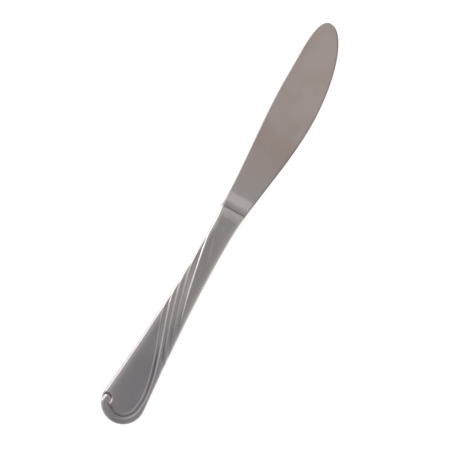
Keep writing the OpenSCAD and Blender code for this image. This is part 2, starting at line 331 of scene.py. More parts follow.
@dataclass
class StruckPattern:
    """The struck pattern: rim, curl, groove round the panel, and the ribs over the neck."""

    form: HandleForm
    # Rim: its width to the groove at the butt and beside the edge, and where it narrows
    butt_rim: float = 3.55
    side_rim: float = 1.85
    rim_run: tuple[float, float] = (5.5, 18.0)
    # Groove: its depth beside the rim and the ribs, and round the curl
    groove_depth: float = 0.19
    groove_end_depth: float = 0.2
    groove_fade: tuple[float, float] = (36.0, 58.0)
    curl_depth: float = 0.28
    curl_reach: float = 5.0
    # Widths of the groove's walls
    butt_wall: float = 1.5
    side_wall: float = 1.08
    border_wall: float = 1.15
    end_wall: float = 1.6
    under_curl_wall: float = 1.9
    under_curl_to: float = 6.5
    under_curl_over: float = 1.0
    # Heights of the rim and the rib crests, and where the rim is lower at the butt
    crest_height: float = 0.14
    butt_height: float = 0.13
    butt_low: tuple[float, float] = (3.2, 3.0)
    # Raised border of the panel, which is lost on the spine side of the butt
    border_height: float = 0.15
    border_from: float = -4.5
    border_over: float = 7.0
    border_lost_to: float = 20.0
    border_end_height: float = 0.09
    border_width: float = 0.85
    # The groove's line over the handle, and how it is rounded into the rim's inner side
    line_from: float = 17.0
    line_to: float = 68.0
    line_start_v: float = -0.83
    line_end_slope: float = 1.45
    line_least_blend: float = 0.05
    line_blend: float = 1.2
    line_blend_to: float = 30.0
    # Curl at the groove's end, with the bar of light beside it
    curl_at: tuple[float, float] = (8.3, 8.0)
    curl_r: float = 2.3
    curl_blend: float = 0.5
    # Where the painted shade lies in the groove round the curl, as a share of the panel's wall
    curl_shade_at: float = 0.2
    curl_near: float = 2.0
    bar_wall: float = 0.9
    bar_from: float = 0.72
    bar_over: float = 0.16
    # Flutes: how they fall from a crest, and how the last one ends
    fall_power: float = 1.15
    last_fall: float = 6.0
    # Height over the seam, and place across as a share of the half width, where the pattern ends
    seam_clear: float = 1.3
    outline_v: tuple[float, float] = (0.76, 0.93)
    # Painted shade in the mouth and in the groove, with its level along the handle
    lip_shade: float = 0.5
    lip_width: float = 1.3
    shade_width: float = 0.4
    shade_at: float = 0.46
    shade_places: tuple[float, ...] = (0.0, 20.0, 31.0, 37.0, 41.0, 44.0, 48.0)
    shade_levels: tuple[float, ...] = (0.6, 0.62, 0.9, 0.88, 0.5, 0.15, 0.0)
    ribs: tuple[Rib, ...] = (
        Rib(34.8, 76.7, 1.15, 1.26, (0.19, 0.2, 0.28), (0.55, 0.0)),
        Rib(39.6, 87.6, 0.8, 1.1, (0.15, 0.15, 0.26), (0.35, 0.0)),
        Rib(49.9, 103.0, 1.1, 1.03, (0.06, 0.44, 0.48), (0.35, 0.1), wall=1.1),
        Rib(78.0, 111.0, 1.0, 1.2, (0.0, 0.08, 0.02), (0.0, 0.1)),
    )

    def off_line(self, x: Array, y: Array, across: Callable[[Array], Array]) -> Array:
        """Distance from a line that crosses the handle.

        Args:
            x: Place along the handle.
            y: Place across it.
            across: Where the line lies as a share of the half width, by the place along.

        Returns:
            The distance, above 0 on the line's butt and spine side.
        """
        step = 0.05
        half = np.maximum(self.form.half_width(x), step)
        off = y / half - across(x)
        slope = (across(x + step) - across(x - step)) / (2 * step)
        return off / np.sqrt(slope**2 + (1 / half) ** 2)

    def groove_across(self, x: Array) -> Array:
        """Where the groove lies beside the first rib.

        Args:
            x: Place along the handle.

        Returns:
            The place across, as a share of the half width.
        """
        share = (x - self.line_from) / (self.line_to - self.line_from)
        held = np.clip(share, 0, 1)
        risen = ramp(held, 0.0, self.line_end_slope) + np.maximum(share - 1, 0) * self.line_end_slope
        return mix(self.line_start_v, 1.0, risen)

    def inset(self, x: Array, y: Array) -> Array:
        """Distance from the outline, above 0 inside."""
        over_butt = self.form.butt_r - np.hypot(x - self.form.butt_r, y)
        return np.where(x < self.form.butt_r, over_butt, self.form.half_width(x) - np.abs(y))

    def from_groove(self, x: Array, y: Array) -> Array:
        """Distance from the groove.

        Args:
            x: Place along the handle.
            y: Place across it.

        Returns:
            The distance, above 0 on the panel.
        """
        rim = mix(self.side_rim, self.butt_rim, self.at_butt(x))
        rim = np.where(y < 0, rim, self.butt_rim)
        in_rim = self.inset(x, y) - rim
        in_rim = np.where(y > 0, np.maximum(in_rim, x - self.curl_at[0]), in_rim)
        line = self.off_line(x, y, self.groove_across)
        line = np.where(x < self.line_from, np.maximum(line, in_rim), line)
        blend = self.line_blend * ease(x, self.line_from, self.line_blend_to)
        border = smooth_least(in_rim, line, self.line_least_blend + blend)
        return smooth_least(border, self.from_curl(x, y), self.curl_blend)

    def from_curl(self, x: Array, y: Array) -> Array:
        """Distance from the curl, below 0 inside it."""
        return np.hypot(x - self.curl_at[0], y - self.curl_at[1]) - self.curl_r

    def beside_curl(self, x: Array, y: Array) -> tuple[Array, Array]:
        """How near a point is to the groove round the curl.

        Args:
            x: Place along the handle.
            y: Place across it.

        Returns:
            The nearness, and how far the point lies on the bar of light, both from 0 to 1.
        """
        away_x, away_y = x - self.curl_at[0], y - self.curl_at[1]
        far = np.maximum(np.hypot(away_x, away_y), TINY)
        near = 1 - smooth((far - self.curl_r) / self.curl_near)
        return near, near * smooth((-away_y / far - self.bar_from) / self.bar_over)

    def walls(self, x: Array, y: Array) -> tuple[Array, Array]:
        """Widths of the groove's walls.

        Args:
            x: Place along the handle.
            y: Place across it.

        Returns:
            The width on the side of the rim and that on the side of the panel.
        """
        butt = self.at_butt(x)
        rim_wall = mix(self.side_wall, self.butt_wall, butt)
        panel_wall = mix(self.border_wall, self.butt_wall, butt * smooth(1 + y / self.butt_rim))
        panel_wall = np.where(y > 0, mix(panel_wall, self.side_wall, smooth(y)), panel_wall)
        under = smooth(y / self.curl_r) * (1 - smooth((x - self.under_curl_to) / self.under_curl_over))
        panel_wall = mix(panel_wall, self.under_curl_wall, under)
        panel_wall = mix(panel_wall, self.bar_wall, self.beside_curl(x, y)[1])
        return rim_wall, mix(panel_wall, self.end_wall, self.faded(x))

    def faded(self, x: Array) -> Array:
        """How far the groove has faded along the handle, from 0 to 1."""
        return ease(x, *self.groove_fade)

    def at_butt(self, x: Array) -> Array:
        """How far the rim still has its width at the butt, from 1 to 0."""
        return 1 - ease(x, *self.rim_run)

    def depth(self, x: Array, y: Array) -> Array:
        """Depth of the groove under the panel, which is greatest at the curl."""
        plain = mix(self.groove_depth, self.groove_end_depth, self.faded(x))
        return plain + self.curl_depth * (1 - smooth(self.from_curl(x, y) / self.curl_reach))

    def heights(self, x: Array, y: Array) -> tuple[Array, Array]:
        """Heights over the plain face on the two sides of the groove.

        Args:
            x: Place along the handle.
            y: Place across it.

        Returns:
            The height of the rim and that of the panel's border.
        """
        border = mix(self.border_height, self.border_end_height, self.faded(x))
        lost = smooth((y - self.border_from) / self.border_over) * (x < self.border_lost_to)
        start, over = self.butt_low
        butt_height = self.butt_height * (1 - smooth((y - start) / over))
        return mix(self.crest_height, butt_height, self.at_butt(x)), border * (1 - lost)

    def groove(self, x: Array, y: Array) -> tuple[Array, Array, Array]:
        """Strike the rim, the groove and the panel's border, and paint shade along the groove.

        Args:
            x: Place along the handle.
            y: Place across it.

        Returns:
            The height, the painted shade, and the distance behind the crest of the rim.
        """
        off = self.from_groove(x, y)
        rim_wall, panel_wall = self.walls(x, y)
        rim_height, border_height = self.heights(x, y)
        depth = self.depth(x, y)
        rim_side = mix(-depth, rim_height, smooth(-off / rim_wall))
        panel_side = mix(-depth, border_height, smooth(off / panel_wall))
        border = border_height * (1 - smooth((off - panel_wall) / self.border_width))
        made = np.where(off > panel_wall, border, np.where(off > 0, panel_side, rim_side))
        near, bar = self.beside_curl(x, y)
        # Painted shade along the groove on the panel's wall, deepest round the curl and none on the bar
        # of light
        shade_at = mix(self.shade_at, self.curl_shade_at, near) * panel_wall
        in_groove = (off - shade_at) / (self.shade_width * panel_wall)
        level = np.interp(x, self.shade_places, self.shade_levels)
        deep = level + np.maximum(depth - self.groove_depth, 0) / self.curl_depth
        painted_shade = np.exp(-(in_groove**2)) * np.clip(deep, 0, 1) * (1 - bar)
        return made, painted_shade, -off - rim_wall

    def relief(self, x: Array, y: Array) -> tuple[Array, Array]:
        """Strike the whole pattern.

        Args:
            x: Place along the handle.
            y: Place across it.

        Returns:
            The height, and from 0 to 1 how much shade is painted into the recesses and the mouth.
        """
        v = y / np.maximum(self.form.half_width(x), TINY)
        made, painted_shade, behind = self.groove(x, y)
        for rib in self.ribs:
            ahead = self.off_line(x, y, rib.across) + rib.wall / 2
            between = (behind > 0) & (ahead > 0)
            whole = np.maximum(behind + ahead, TINY)
            wall = np.minimum(rib.wall, whole / 2)
            fall = np.clip(behind / (whole - wall), 0, 1) ** self.fall_power
            flute = rib.depth(v) * np.where(ahead > wall, fall, smooth(ahead / wall))
            made = np.where(between, self.crest_height - flute, made)
            # Painted shade at the foot of each rib's wall
            rib_shade = np.exp(-(((ahead - wall) / (self.shade_width * wall)) ** 2)) * rib.painted_shade(v)
            painted_shade = np.where(between, np.maximum(painted_shade, rib_shade), painted_shade)
            behind = -ahead
        settled = self.crest_height * (1 - smooth(behind / self.last_fall))
        made = np.where(behind > 0, settled, made)
        held = ease(np.abs(v), *self.outline_v) * self.faded(x)
        # Painted shade in the handle's mouth, by the blade
        painted_shade = np.maximum(painted_shade, self.lip_shade * smooth((x - self.form.length) / self.lip_width + 1))
        return mix(made, self.crest_height / 2, held), painted_shade


def select_only(piece: Piece) -> None:
    """Deselect everything and make this piece the active one.

    Args:
        piece: The piece to select.
    """
    bpy.ops.object.select_all(action="DESELECT")
    piece.select_set(True)
    bpy.context.view_layer.objects.active = piece


def grid_piece(name: str, rows: int, cols: int) -> tuple[Piece, Array, Array]:
    """Add a grid primitive and say which row and column each vertex has.

    Args:
        name: Name of the piece.
        rows: Steps along X.
        cols: Steps along Y.

    Returns:
        The piece, and the row and the column of each vertex.
    """
    bpy.ops.object.select_all(action="DESELECT")
    bpy.ops.mesh.primitive_grid_add(x_subdivisions=rows, y_subdivisions=cols, size=2.0)
    piece = bpy.context.active_object
    piece.name = name
    piece.data.name = name
    points = vertex_points(piece)
    row = np.rint((points[:, 0] + 1) / 2 * rows).astype(int)
    col = np.rint((points[:, 1] + 1) / 2 * cols).astype(int)
    return piece, row, col


def vertex_points(piece: Piece) -> Array:
    """Read the vertices of a piece.

    Args:
        piece: The piece to read.

    Returns:
        A row of three coordinates for each vertex.
    """
    points = np.zeros(len(piece.data.vertices) * 3)
    piece.data.vertices.foreach_get("co", points)
    return points.reshape(-1, 3)


def set_points(piece: Piece, points: Array) -> None:
    """Move the vertices of a piece."""
    piece.data.vertices.foreach_set("co", points.astype(np.float32).ravel())
    piece.data.update()


def set_painted_shade(piece: Piece, painted_shade: Array) -> None:
    """Store the painted shade of each vertex."""
    recess_shade = piece.data.attributes.new(RECESS_SHADE, "FLOAT", "POINT")
    recess_shade.data.foreach_set("value", painted_shade.astype(np.float32))


def weld(piece: Piece, fill: bool = False) -> None:
    """Merge what lies together, fill open ends if asked, and turn the faces outwards.

    Args:
        piece: The piece to weld.
        fill: True closes the open ends with a face each.
    """
    select_only(piece)
    bpy.ops.object.mode_set(mode="EDIT")
    bpy.ops.mesh.select_all(action="SELECT")
    bpy.ops.mesh.remove_doubles(threshold=WELD_REACH)
    if fill:
        bpy.ops.mesh.select_all(action="DESELECT")
        bpy.ops.mesh.select_non_manifold(extend=False)
        bpy.ops.mesh.fill()
    bpy.ops.mesh.select_all(action="SELECT")
    bpy.ops.mesh.normals_make_consistent(inside=False)
    bpy.ops.object.mode_set(mode="OBJECT")


@dataclass
class StruckShell:
    """One half of the handle: a sheet struck to shape, from the seam outwards."""

    drawing: Drawing
    form: HandleForm
    pattern: StruckPattern
    face: Face
    wall: float = 0.35
    braze_thick: float = 0.1
    crease_deg: float = 50.0
    # Steps of the mesh along the outline, and from the seam up the side and over the face
    body_steps: int = 270
    butt_steps: int = 64
    wall_levels: int = 18
    face_levels: int = 50
    wall_crowding: float = 1.4
    face_crowding: float = 1.15
    # Rounded lip of the mouth, and how the face rolls down to it
    mouth_round: float = 0.45
    mouth_steps: int = 4
    mouth_roll: float = 0.58
    mouth_roll_len: float = 5.2
    mouth_roll_power: float = 1.3

    def name(self) -> str:
        """Name of the piece."""
        return f"struck_shell_{self.face.name.lower()}"

    def levels(self, square: Array, level: Array) -> tuple[Array, Array]:
        """Share of the half width and of the half thickness at a level.

        Args:
            square: Power of the section at each vertex.
            level: Level of each vertex, from 0 at the seam to the middle line.

        Returns:
            The share of the half width and the share of the half thickness.
        """
        corner = 0.5 ** (1 / square)
        rise = corner * (1 - (1 - np.minimum(level / self.wall_levels, 1)) ** self.wall_crowding)
        inward = np.clip((level - self.wall_levels) / self.face_levels, 0, 1) ** self.face_crowding
        wall_v = (1 - rise**square) ** (1 / square)
        v = np.where(level <= self.wall_levels, wall_v, corner * (1 - inward))
        return v, (1 - v**square) ** (1 / square)

    def stations(self) -> tuple[Array, Array]:
        """Where the path along the outline lies, from the mouth round the butt and back.

        Returns:
            For each step, X along the handle, and the turn round the butt, from 0 at the spine
            side to 180 degrees at the edge side.
        """
        start, end = self.form.butt_r, self.form.length
        plain = np.linspace(start, end - self.mouth_round, self.body_steps + 1)
        turn = np.radians(np.linspace(0, 90, self.mouth_steps + 1)[1:])
        rounded = end - self.mouth_round * (1 - np.sin(turn))
        body = np.concatenate([plain, rounded])
        butt = np.full(self.butt_steps - 1, start)
        x = np.concatenate([body[::-1], butt, body])
        around = np.linspace(0, 180, self.butt_steps + 1)
        turns = np.concatenate([np.zeros(len(body) - 1), around, np.full(len(body) - 1, 180.0)])
        return x, np.radians(turns)

    def plain_points(self, row: Array, col: Array) -> Array:
        """Place the grid on the plain form of the handle.

        Args:
            row: Step of each vertex along the outline.
            col: Level of each vertex, from the seam to the middle line.

        Returns:
            Points of the drawing, over the seam.
        """
        path_x, turns = self.stations()
        at, turn = path_x[row], turns[row]
        v, rise = self.levels(self.form.squareness(at, turn), col.astype(float))
        into = np.clip((at - self.form.length) / self.mouth_round + 1, 0, 1)
        drawn_in = self.mouth_round * (1 - np.sqrt(1 - into**2))
        half = self.form.half_width(at) - drawn_in
        rolled = np.clip((at - self.form.length + self.mouth_roll_len) / self.mouth_roll_len, 0, 1)
        high = self.form.half_thick(at) - drawn_in - self.mouth_roll * rolled**self.mouth_roll_power
        high = high * (1 - self.form.edge_drop(at, v * np.cos(turn)))
        x = at - half * v * np.sin(turn)
        y = half * v * np.cos(turn)
        return np.stack([x, y, np.maximum(high * rise, self.braze_thick / 2)], axis=1)

    def strike(self, piece: Piece) -> None:
        """Press the pattern into the plain sheet, along its normals.

        Args:
            piece: The plain sheet.
        """
        points = vertex_points(piece)
        normals = np.zeros(len(points) * 3, np.float32)
        piece.data.vertices.foreach_get("normal", normals)
        normals = normals.reshape(-1, 3)
        x, y, z = points.T / MM
        height, painted_shade = self.pattern.relief(x, y)
        clear = smooth((z - self.braze_thick / 2) / self.pattern.seam_clear)
        set_points(piece, points + normals * (height * clear * MM)[:, None])
        # Store the painted shade, which fades out towards the seam
        set_painted_shade(piece, painted_shade * clear)

    def build(self) -> Piece:
        """Model the shell.

        Returns:
            The finished piece, at its place in the row frame.
        """
        rows = len(self.stations()[0]) - 1
        piece, row, col = grid_piece(self.name(), rows, self.wall_levels + self.face_levels)
        set_points(piece, self.plain_points(row, col) * MM)
        weld(piece)
        up = sum(polygon.normal.z * polygon.area for polygon in piece.data.polygons)
        if up < 0:
            piece.data.flip_normals()
        self.strike(piece)
        if self.face is Face.BACK:
            points = vertex_points(piece) * np.array([1, 1, -1])
            points[:, 2] = np.maximum(points[:, 2], -self.drawing.seam_z * MM)
            set_points(piece, points)
            piece.data.flip_normals()
        set_points(piece, self.drawing.placed(vertex_points(piece) / MM))
        select_only(piece)
        sheet = piece.modifiers.new("sheet", "SOLIDIFY")
        sheet.thickness = self.wall * MM
        sheet.offset = -1.0
        bpy.ops.object.modifier_apply(modifier=sheet.name)
        bpy.ops.object.shade_smooth_by_angle(angle=math.radians(self.crease_deg))
        return piece


@dataclass
class GroundBlade:
    """The blade: plate with its bolster, and the plug and tang inside the handle."""

    drawing: Drawing
    form: HandleForm
    crease_deg: float = 24.0
    # Outline of the blade: its spine, its belly and its nose
    root_half: float = 6.5
    spine_height: float = 10.3
    belly_depth: float = 12.0
    belly_at: float = 54.0
    spine_rise_len: float = 68.0
    nose_len: float = 18.0
    tip_height: float = 4.2
    tip_trim: float = 0.8
    nose_power: float = 2.6
    belly_power: float = 1.9
    # Section of the plate
    spine_thick: float = 2.0
    tip_thick: float = 1.1
    edge_thick: float = 0.5
    bevel_width: float = 0.8
    grind_power: float = 0.7
    corner_r: float = 0.4
    # Bolster, and how it runs out into the plate
    bolster_thick: float = 4.8
    bolster_square: float = 4.6
    runout_len: float = 8.2
    runout_power: float = 0.95
    # Painted shade in the joint with the handle and on the cutting edge's bevel
    joint_width: float = 2.8
    joint_shade_level: float = 0.5
    bevel_shade_level: float = 0.3
    # Plug in the handle's mouth, and the tang behind it
    plug_len: float = 6.0
    plug_room: float = 1.0
    plug_in: float = 0.93
    tang_len: float = 38.0
    tang_half: float = 2.5
    tang_thick: float = 2.4
    tang_flats: tuple[float, float] = (1.2, 4.0)
    # Steps of the mesh
    across: int = 72
    runout_steps: int = 28
    runout_crowding: float = 1.3
    plate_steps: int = 120
    nose_steps: int = 60

    def length(self) -> float:
        """Length of the blade as the picture shows it."""
        return self.drawing.blade_len - self.tip_trim

    def spine_y(self, b: Array) -> Array:
        """Height of the spine.

        Args:
            b: Distance from the shoulder.

        Returns:
            The height across the blade.
        """
        share = np.clip((b - (self.length() - self.nose_len)) / self.nose_len, 0, 1)
        top = mix(self.root_half, self.spine_height, ramp(np.clip(b / self.spine_rise_len, 0, 1), 0, 0))
        return mix(self.tip_height, top, (1 - share**self.nose_power) ** (1 / self.nose_power))

    def edge_y(self, b: Array) -> Array:
        """Height of the cutting edge.

        Args:
            b: Distance from the shoulder.

        Returns:
            The height across the blade, mostly below 0.
        """
        share = np.clip((b - self.belly_at) / (self.length() - self.belly_at), 0, 1)
        low = -mix(self.root_half, self.belly_depth, ramp(np.clip(b / self.belly_at, 0, 1), 1, 0))
        return mix(self.tip_height, low, (1 - share**self.belly_power) ** (1 / self.belly_power))

    def half_thick(self, b: Array, y: Array) -> Array:
        """Half the thickness of the plate and the bolster.

        Args:
            b: Distance from the shoulder.
            y: Height across the blade.

        Returns:
            The half thickness.
        """
        low, high = self.edge_y(b), self.spine_y(b)
        share = np.clip((y - low) / np.maximum(high - low, TINY), 0, 1)
        spine = mix(self.spine_thick, self.tip_thick, b / self.drawing.blade_len) / 2
        plate = mix(self.edge_thick / 2, spine, share**self.grind_power)
        bevel = np.clip((y - low) / self.bevel_width, 0, 1)
        corner = np.clip((high - y) / self.corner_r, 0, 1)
        plate = plate * bevel * np.sqrt(1 - (1 - corner) ** 2)
        power = self.bolster_square
        boss = self.bolster_thick / 2 * np.maximum(0, 1 - np.abs(2 * share - 1) ** power) ** (1 / power)
        left = 1 - smooth(np.clip(b / self.runout_len, 0, 1) ** self.runout_power)
        return mix(plate, np.maximum(plate, boss), left)

    def stations(self) -> Array:
        """Where the rings of the blade lie.

        Returns:
            Distances from the shoulder.
        """
        nose_at = self.length() - self.nose_len
        runout = self.runout_len * np.linspace(0, 1, self.runout_steps + 1) ** self.runout_crowding
        plate = np.linspace(self.runout_len, nose_at, self.plate_steps + 1)[1:]
        turn = np.radians(np.linspace(0, 90, self.nose_steps + 1)[1:])
        return np.concatenate([runout, plate, nose_at + self.nose_len * np.sin(turn)])

    def rings(self) -> Array:
        """Rings of points round the plate, from the shoulder to the tip.

        Returns:
            An array of rings, points and coordinates of the drawing.
        """
        turn = np.radians(np.linspace(0, 360, 2 * self.across + 1))
        share = (1 - np.cos(turn)) / 2
        side = np.where(turn <= math.pi, 1.0, -1.0)
        b = self.stations()[:, None] + 0 * share[None, :]
        low, high = self.edge_y(b), self.spine_y(b)
        y = mix(low, high, share[None, :])
        z = self.half_thick(b, y) * side[None, :]
        z[:, [0, self.across, 2 * self.across]] = 0
        return np.stack([self.drawing.handle_len + b, y, z], axis=2)

    def inner_rings(self) -> Array:
        """Rings of the tang and of the plug inside the mouth.

        Returns:
            An array of rings, points and coordinates of the drawing, from the back of the tang.
        """
        turn = np.radians(np.linspace(0, 360, 2 * self.across + 1))
        length = self.drawing.handle_len
        power = self.form.plain_square
        made = []
        flat_y, flat_z = self.tang_flats
        for back in (self.plug_len + self.tang_len, self.plug_len):
            y = -self.tang_half * np.clip(flat_y * np.cos(turn), -1, 1)
            z = self.tang_thick / 2 * np.clip(flat_z * np.sin(turn), -1, 1)
            made.append(np.stack([0 * y + length - back, y, z], axis=1))
        for back in (self.plug_len, 0.0):
            at = np.array(length - back)
            half = float(self.form.half_width(at)) - self.plug_room
            high = float(self.form.half_thick(at)) - self.plug_room
            full = (1 - np.abs(np.cos(turn)) ** power) ** (1 / power)
            y = -half * self.plug_in * np.cos(turn)
            z = high * self.plug_in * full * np.sign(np.round(np.sin(turn), 9))
            made.append(np.stack([0 * y + length - back, y, z], axis=1))
        return np.array(made)

    def build(self) -> Piece:
        """Model the blade.

        Returns:
            The finished piece, at its place in the row frame.
        """
        rings = np.concatenate([self.inner_rings(), self.rings()])
        piece, row, col = grid_piece("ground_blade", len(rings) - 1, 2 * self.across)
        points = rings[row, col]
        set_points(piece, self.drawing.placed(points))
        b = points[:, 0] - self.drawing.handle_len
        # Painted shade: darker in the joint with the handle and along the cutting edge's bevel
        joint = self.joint_shade_level * (1 - smooth(b / self.joint_width - 0.5))
        over_edge = points[:, 1] - self.edge_y(np.clip(b, 0, None))
        bevel = self.bevel_shade_level * (1 - smooth(over_edge / self.bevel_width - 0.5))
        set_painted_shade(piece, np.maximum(joint, bevel))
        weld(piece, fill=True)
        bpy.ops.object.shade_smooth_by_angle(angle=math.radians(self.crease_deg))
        return piece


def empty_material(name: str) -> bpy.types.Material:
    """Make a material whose node tree is empty.

    Args:
        name: Name of the material.

    Returns:
        The material.
    """
    made = bpy.data.materials.new(name)
    made.use_nodes = True
    made.node_tree.nodes.clear()
    return made


@dataclass(frozen=True)
class SatinSteel:
    """Stainless steel, ground or brushed: a soft mirror whose fine grain runs one way.

    Its colour turns to that of the cloud in soft patches, and, as painted light, along the piece
    between two places. Painted shade turns it towards a darker colour where the mesh holds it.
    """

    name: str
    colour: str
    cloud: str
    # Colour of the painted shade in recesses and joints
    painted_shade: str
    roughness: float
    roughness_spread: float
    grain_mm: float
    grain_run_mm: float
    grain_depth_mm: float
    cloud_mm: float
    # Where the painted light along the piece starts and ends
    painted_light_run_mm: tuple[float, float]
    cloud_spread: float = 0.3
    cloud_noise: tuple[float, float] = (0.35, 0.65)

    def tone(self, tree: Tree, place: Socket) -> Socket:
        """Colour the clean metal, with painted light along the piece, and mix the painted shade of the
        recesses in.

        Args:
            tree: The node tree of the material.
            place: The place on the piece.

        Returns:
            The socket with the colour.
        """
        inputs = {"Vector": place, "Scale": 1 / self.cloud_mm / MM, "Detail": 2.0}
        cloud = add_node(tree, "ShaderNodeTexNoise", inputs).outputs["Fac"]
        # Painted light: the colour turns towards the cloud's along the piece
        along = add_node(tree, "ShaderNodeSeparateXYZ", {"Vector": place}).outputs["X"]
        runs = (
            (cloud, *self.cloud_noise, self.cloud_spread),
            (along, *(at * MM for at in self.painted_light_run_mm), 1 - self.cloud_spread),
        )
        shares = []
        for value, start, end, most in runs:
            inputs = {"Value": value, "From Min": start, "From Max": end, "To Max": most}
            eased = add_node(tree, "ShaderNodeMapRange", inputs, interpolation_type="SMOOTHSTEP")
            shares.append(eased.outputs["Result"])
        share = add_node(tree, "ShaderNodeMath", {0: shares[0], 1: shares[1]}, operation="ADD")
        recess_shade = add_node(tree, "ShaderNodeAttribute", attribute_name=RECESS_SHADE)
        tone: Any = srgb(self.colour)
        # Mix in the cloud, with the painted light along the piece, and then the painted shade
        for part, colour in ((share.outputs["Value"], self.cloud), (recess_shade.outputs["Fac"], self.painted_shade)):
            inputs = {0: part, 6: tone, 7: srgb(colour)}
            tone = add_node(tree, "ShaderNodeMix", inputs, data_type="RGBA").outputs[2]
        return tone

    def material(self) -> bpy.types.Material:
        """Make the material.

        Returns:
            The material, on Object coordinates.
        """
        made = empty_material(self.name)
        tree = made.node_tree
        place = add_node(tree, "ShaderNodeTexCoord").outputs["Object"]
        grain_scale = (1 / self.grain_run_mm / MM, 1 / self.grain_mm / MM, 1 / self.grain_mm / MM)
        run = add_node(tree, "ShaderNodeMapping", {"Vector": place, "Scale": grain_scale})
        fine = {"Vector": run.outputs["Vector"], "Scale": 1.0, "Detail": 3.0, "Roughness": 0.6}
        grain = add_node(tree, "ShaderNodeTexNoise", fine).outputs["Fac"]
        least, most = self.roughness - self.roughness_spread, self.roughness + self.roughness_spread
        gloss = add_node(tree, "ShaderNodeMapRange", {"Value": grain, "To Min": least, "To Max": most})
        depth = self.grain_depth_mm * MM
        bump = add_node(tree, "ShaderNodeBump", {"Height": grain, "Strength": 1.0, "Distance": depth})
        steel = {
            "Base Color": self.tone(tree, place),
            "Metallic": 1.0,
            "Roughness": gloss.outputs["Result"],
            "Normal": bump.outputs["Normal"],
        }
        shader = add_node(tree, "ShaderNodeBsdfPrincipled", steel)
        add_node(tree, "ShaderNodeOutputMaterial", {"Surface": shader.outputs["BSDF"]})
        return made


@dataclass(frozen=True)
class PlainFinish:
    """A matt or metallic finish with a fine mottled colour, for the filler and the seam."""

    name: str
    colour: str
    mottle: str
    roughness: float
    metallic: float
    mottle_mm: float

    def material(self) -> bpy.types.Material:
        """Make the material.

        Returns:
            The material, on Object coordinates.
        """
        made = empty_material(self.name)
        tree = made.node_tree
        place = add_node(tree, "ShaderNodeTexCoord").outputs["Object"]
        inputs = {"Vector": place, "Scale": 1 / self.mottle_mm / MM, "Detail": 4.0}
        mottle = add_node(tree, "ShaderNodeTexNoise", inputs).outputs["Fac"]
        inputs = {0: mottle, 6: srgb(self.colour), 7: srgb(self.mottle)}
        colour = add_node(tree, "ShaderNodeMix", inputs, data_type="RGBA").outputs[2]
        finish = {"Base Color": colour, "Metallic": self.metallic, "Roughness": self.roughness}
        shader = add_node(tree, "ShaderNodeBsdfPrincipled", finish)
        add_node(tree, "ShaderNodeOutputMaterial", {"Surface": shader.outputs["BSDF"]})
        return made


# Stainless handle sheet, struck and then polished: a soft mirror with hardly any grain
POLISHED_HANDLE = SatinSteel(
    name="polished_stainless_handle",
    colour="#C4BCC1",
    cloud="#E1DAD6",
    # Painted shade of the groove, the ribs and the mouth
    painted_shade="#6E6568",
    roughness=0.24,
    roughness_spread=0.03,
    grain_mm=0.25,
    grain_run_mm=3.0,
    grain_depth_mm=0.0006,
    cloud_mm=18.0,
    # Painted light: paler towards the neck, whose rounder section catches more light
    painted_light_run_mm=(-80.0, -25.0),
)
# Stainless blade, ground and satined along its length: duller and warmer than the handle
SATIN_BLADE = SatinSteel(
    name="satined_stainless_blade",
    colour="#D9D4D2",
    cloud="#BBABA5",
    # Painted shade of the joint and the bevel
    painted_shade="#7A706C",
    roughness=0.34,
    roughness_spread=0.04,
    grain_mm=0.2,
    grain_run_mm=6.0,
    grain_depth_mm=0.0008,
    cloud_mm=14.0,
    # Painted reflection: darker and warmer past the bolster
    painted_light_run_mm=(4.0, 45.0),
    cloud_spread=0.18,
)
# Silver brazing metal, ground flush: a thin pale yellow line in the seam
GROUND_BRAZE = PlainFinish("ground_silver_braze", "#C9C2A6", "#BDB69B", 0.3, 1.0, 0.5)
# Cement cast in the hollow handle: matt, chalky and a little mottled
CAST_CEMENT = PlainFinish("cast_handle_cement", "#8F8266", "#A19377", 0.9, 0.0, 1.2)


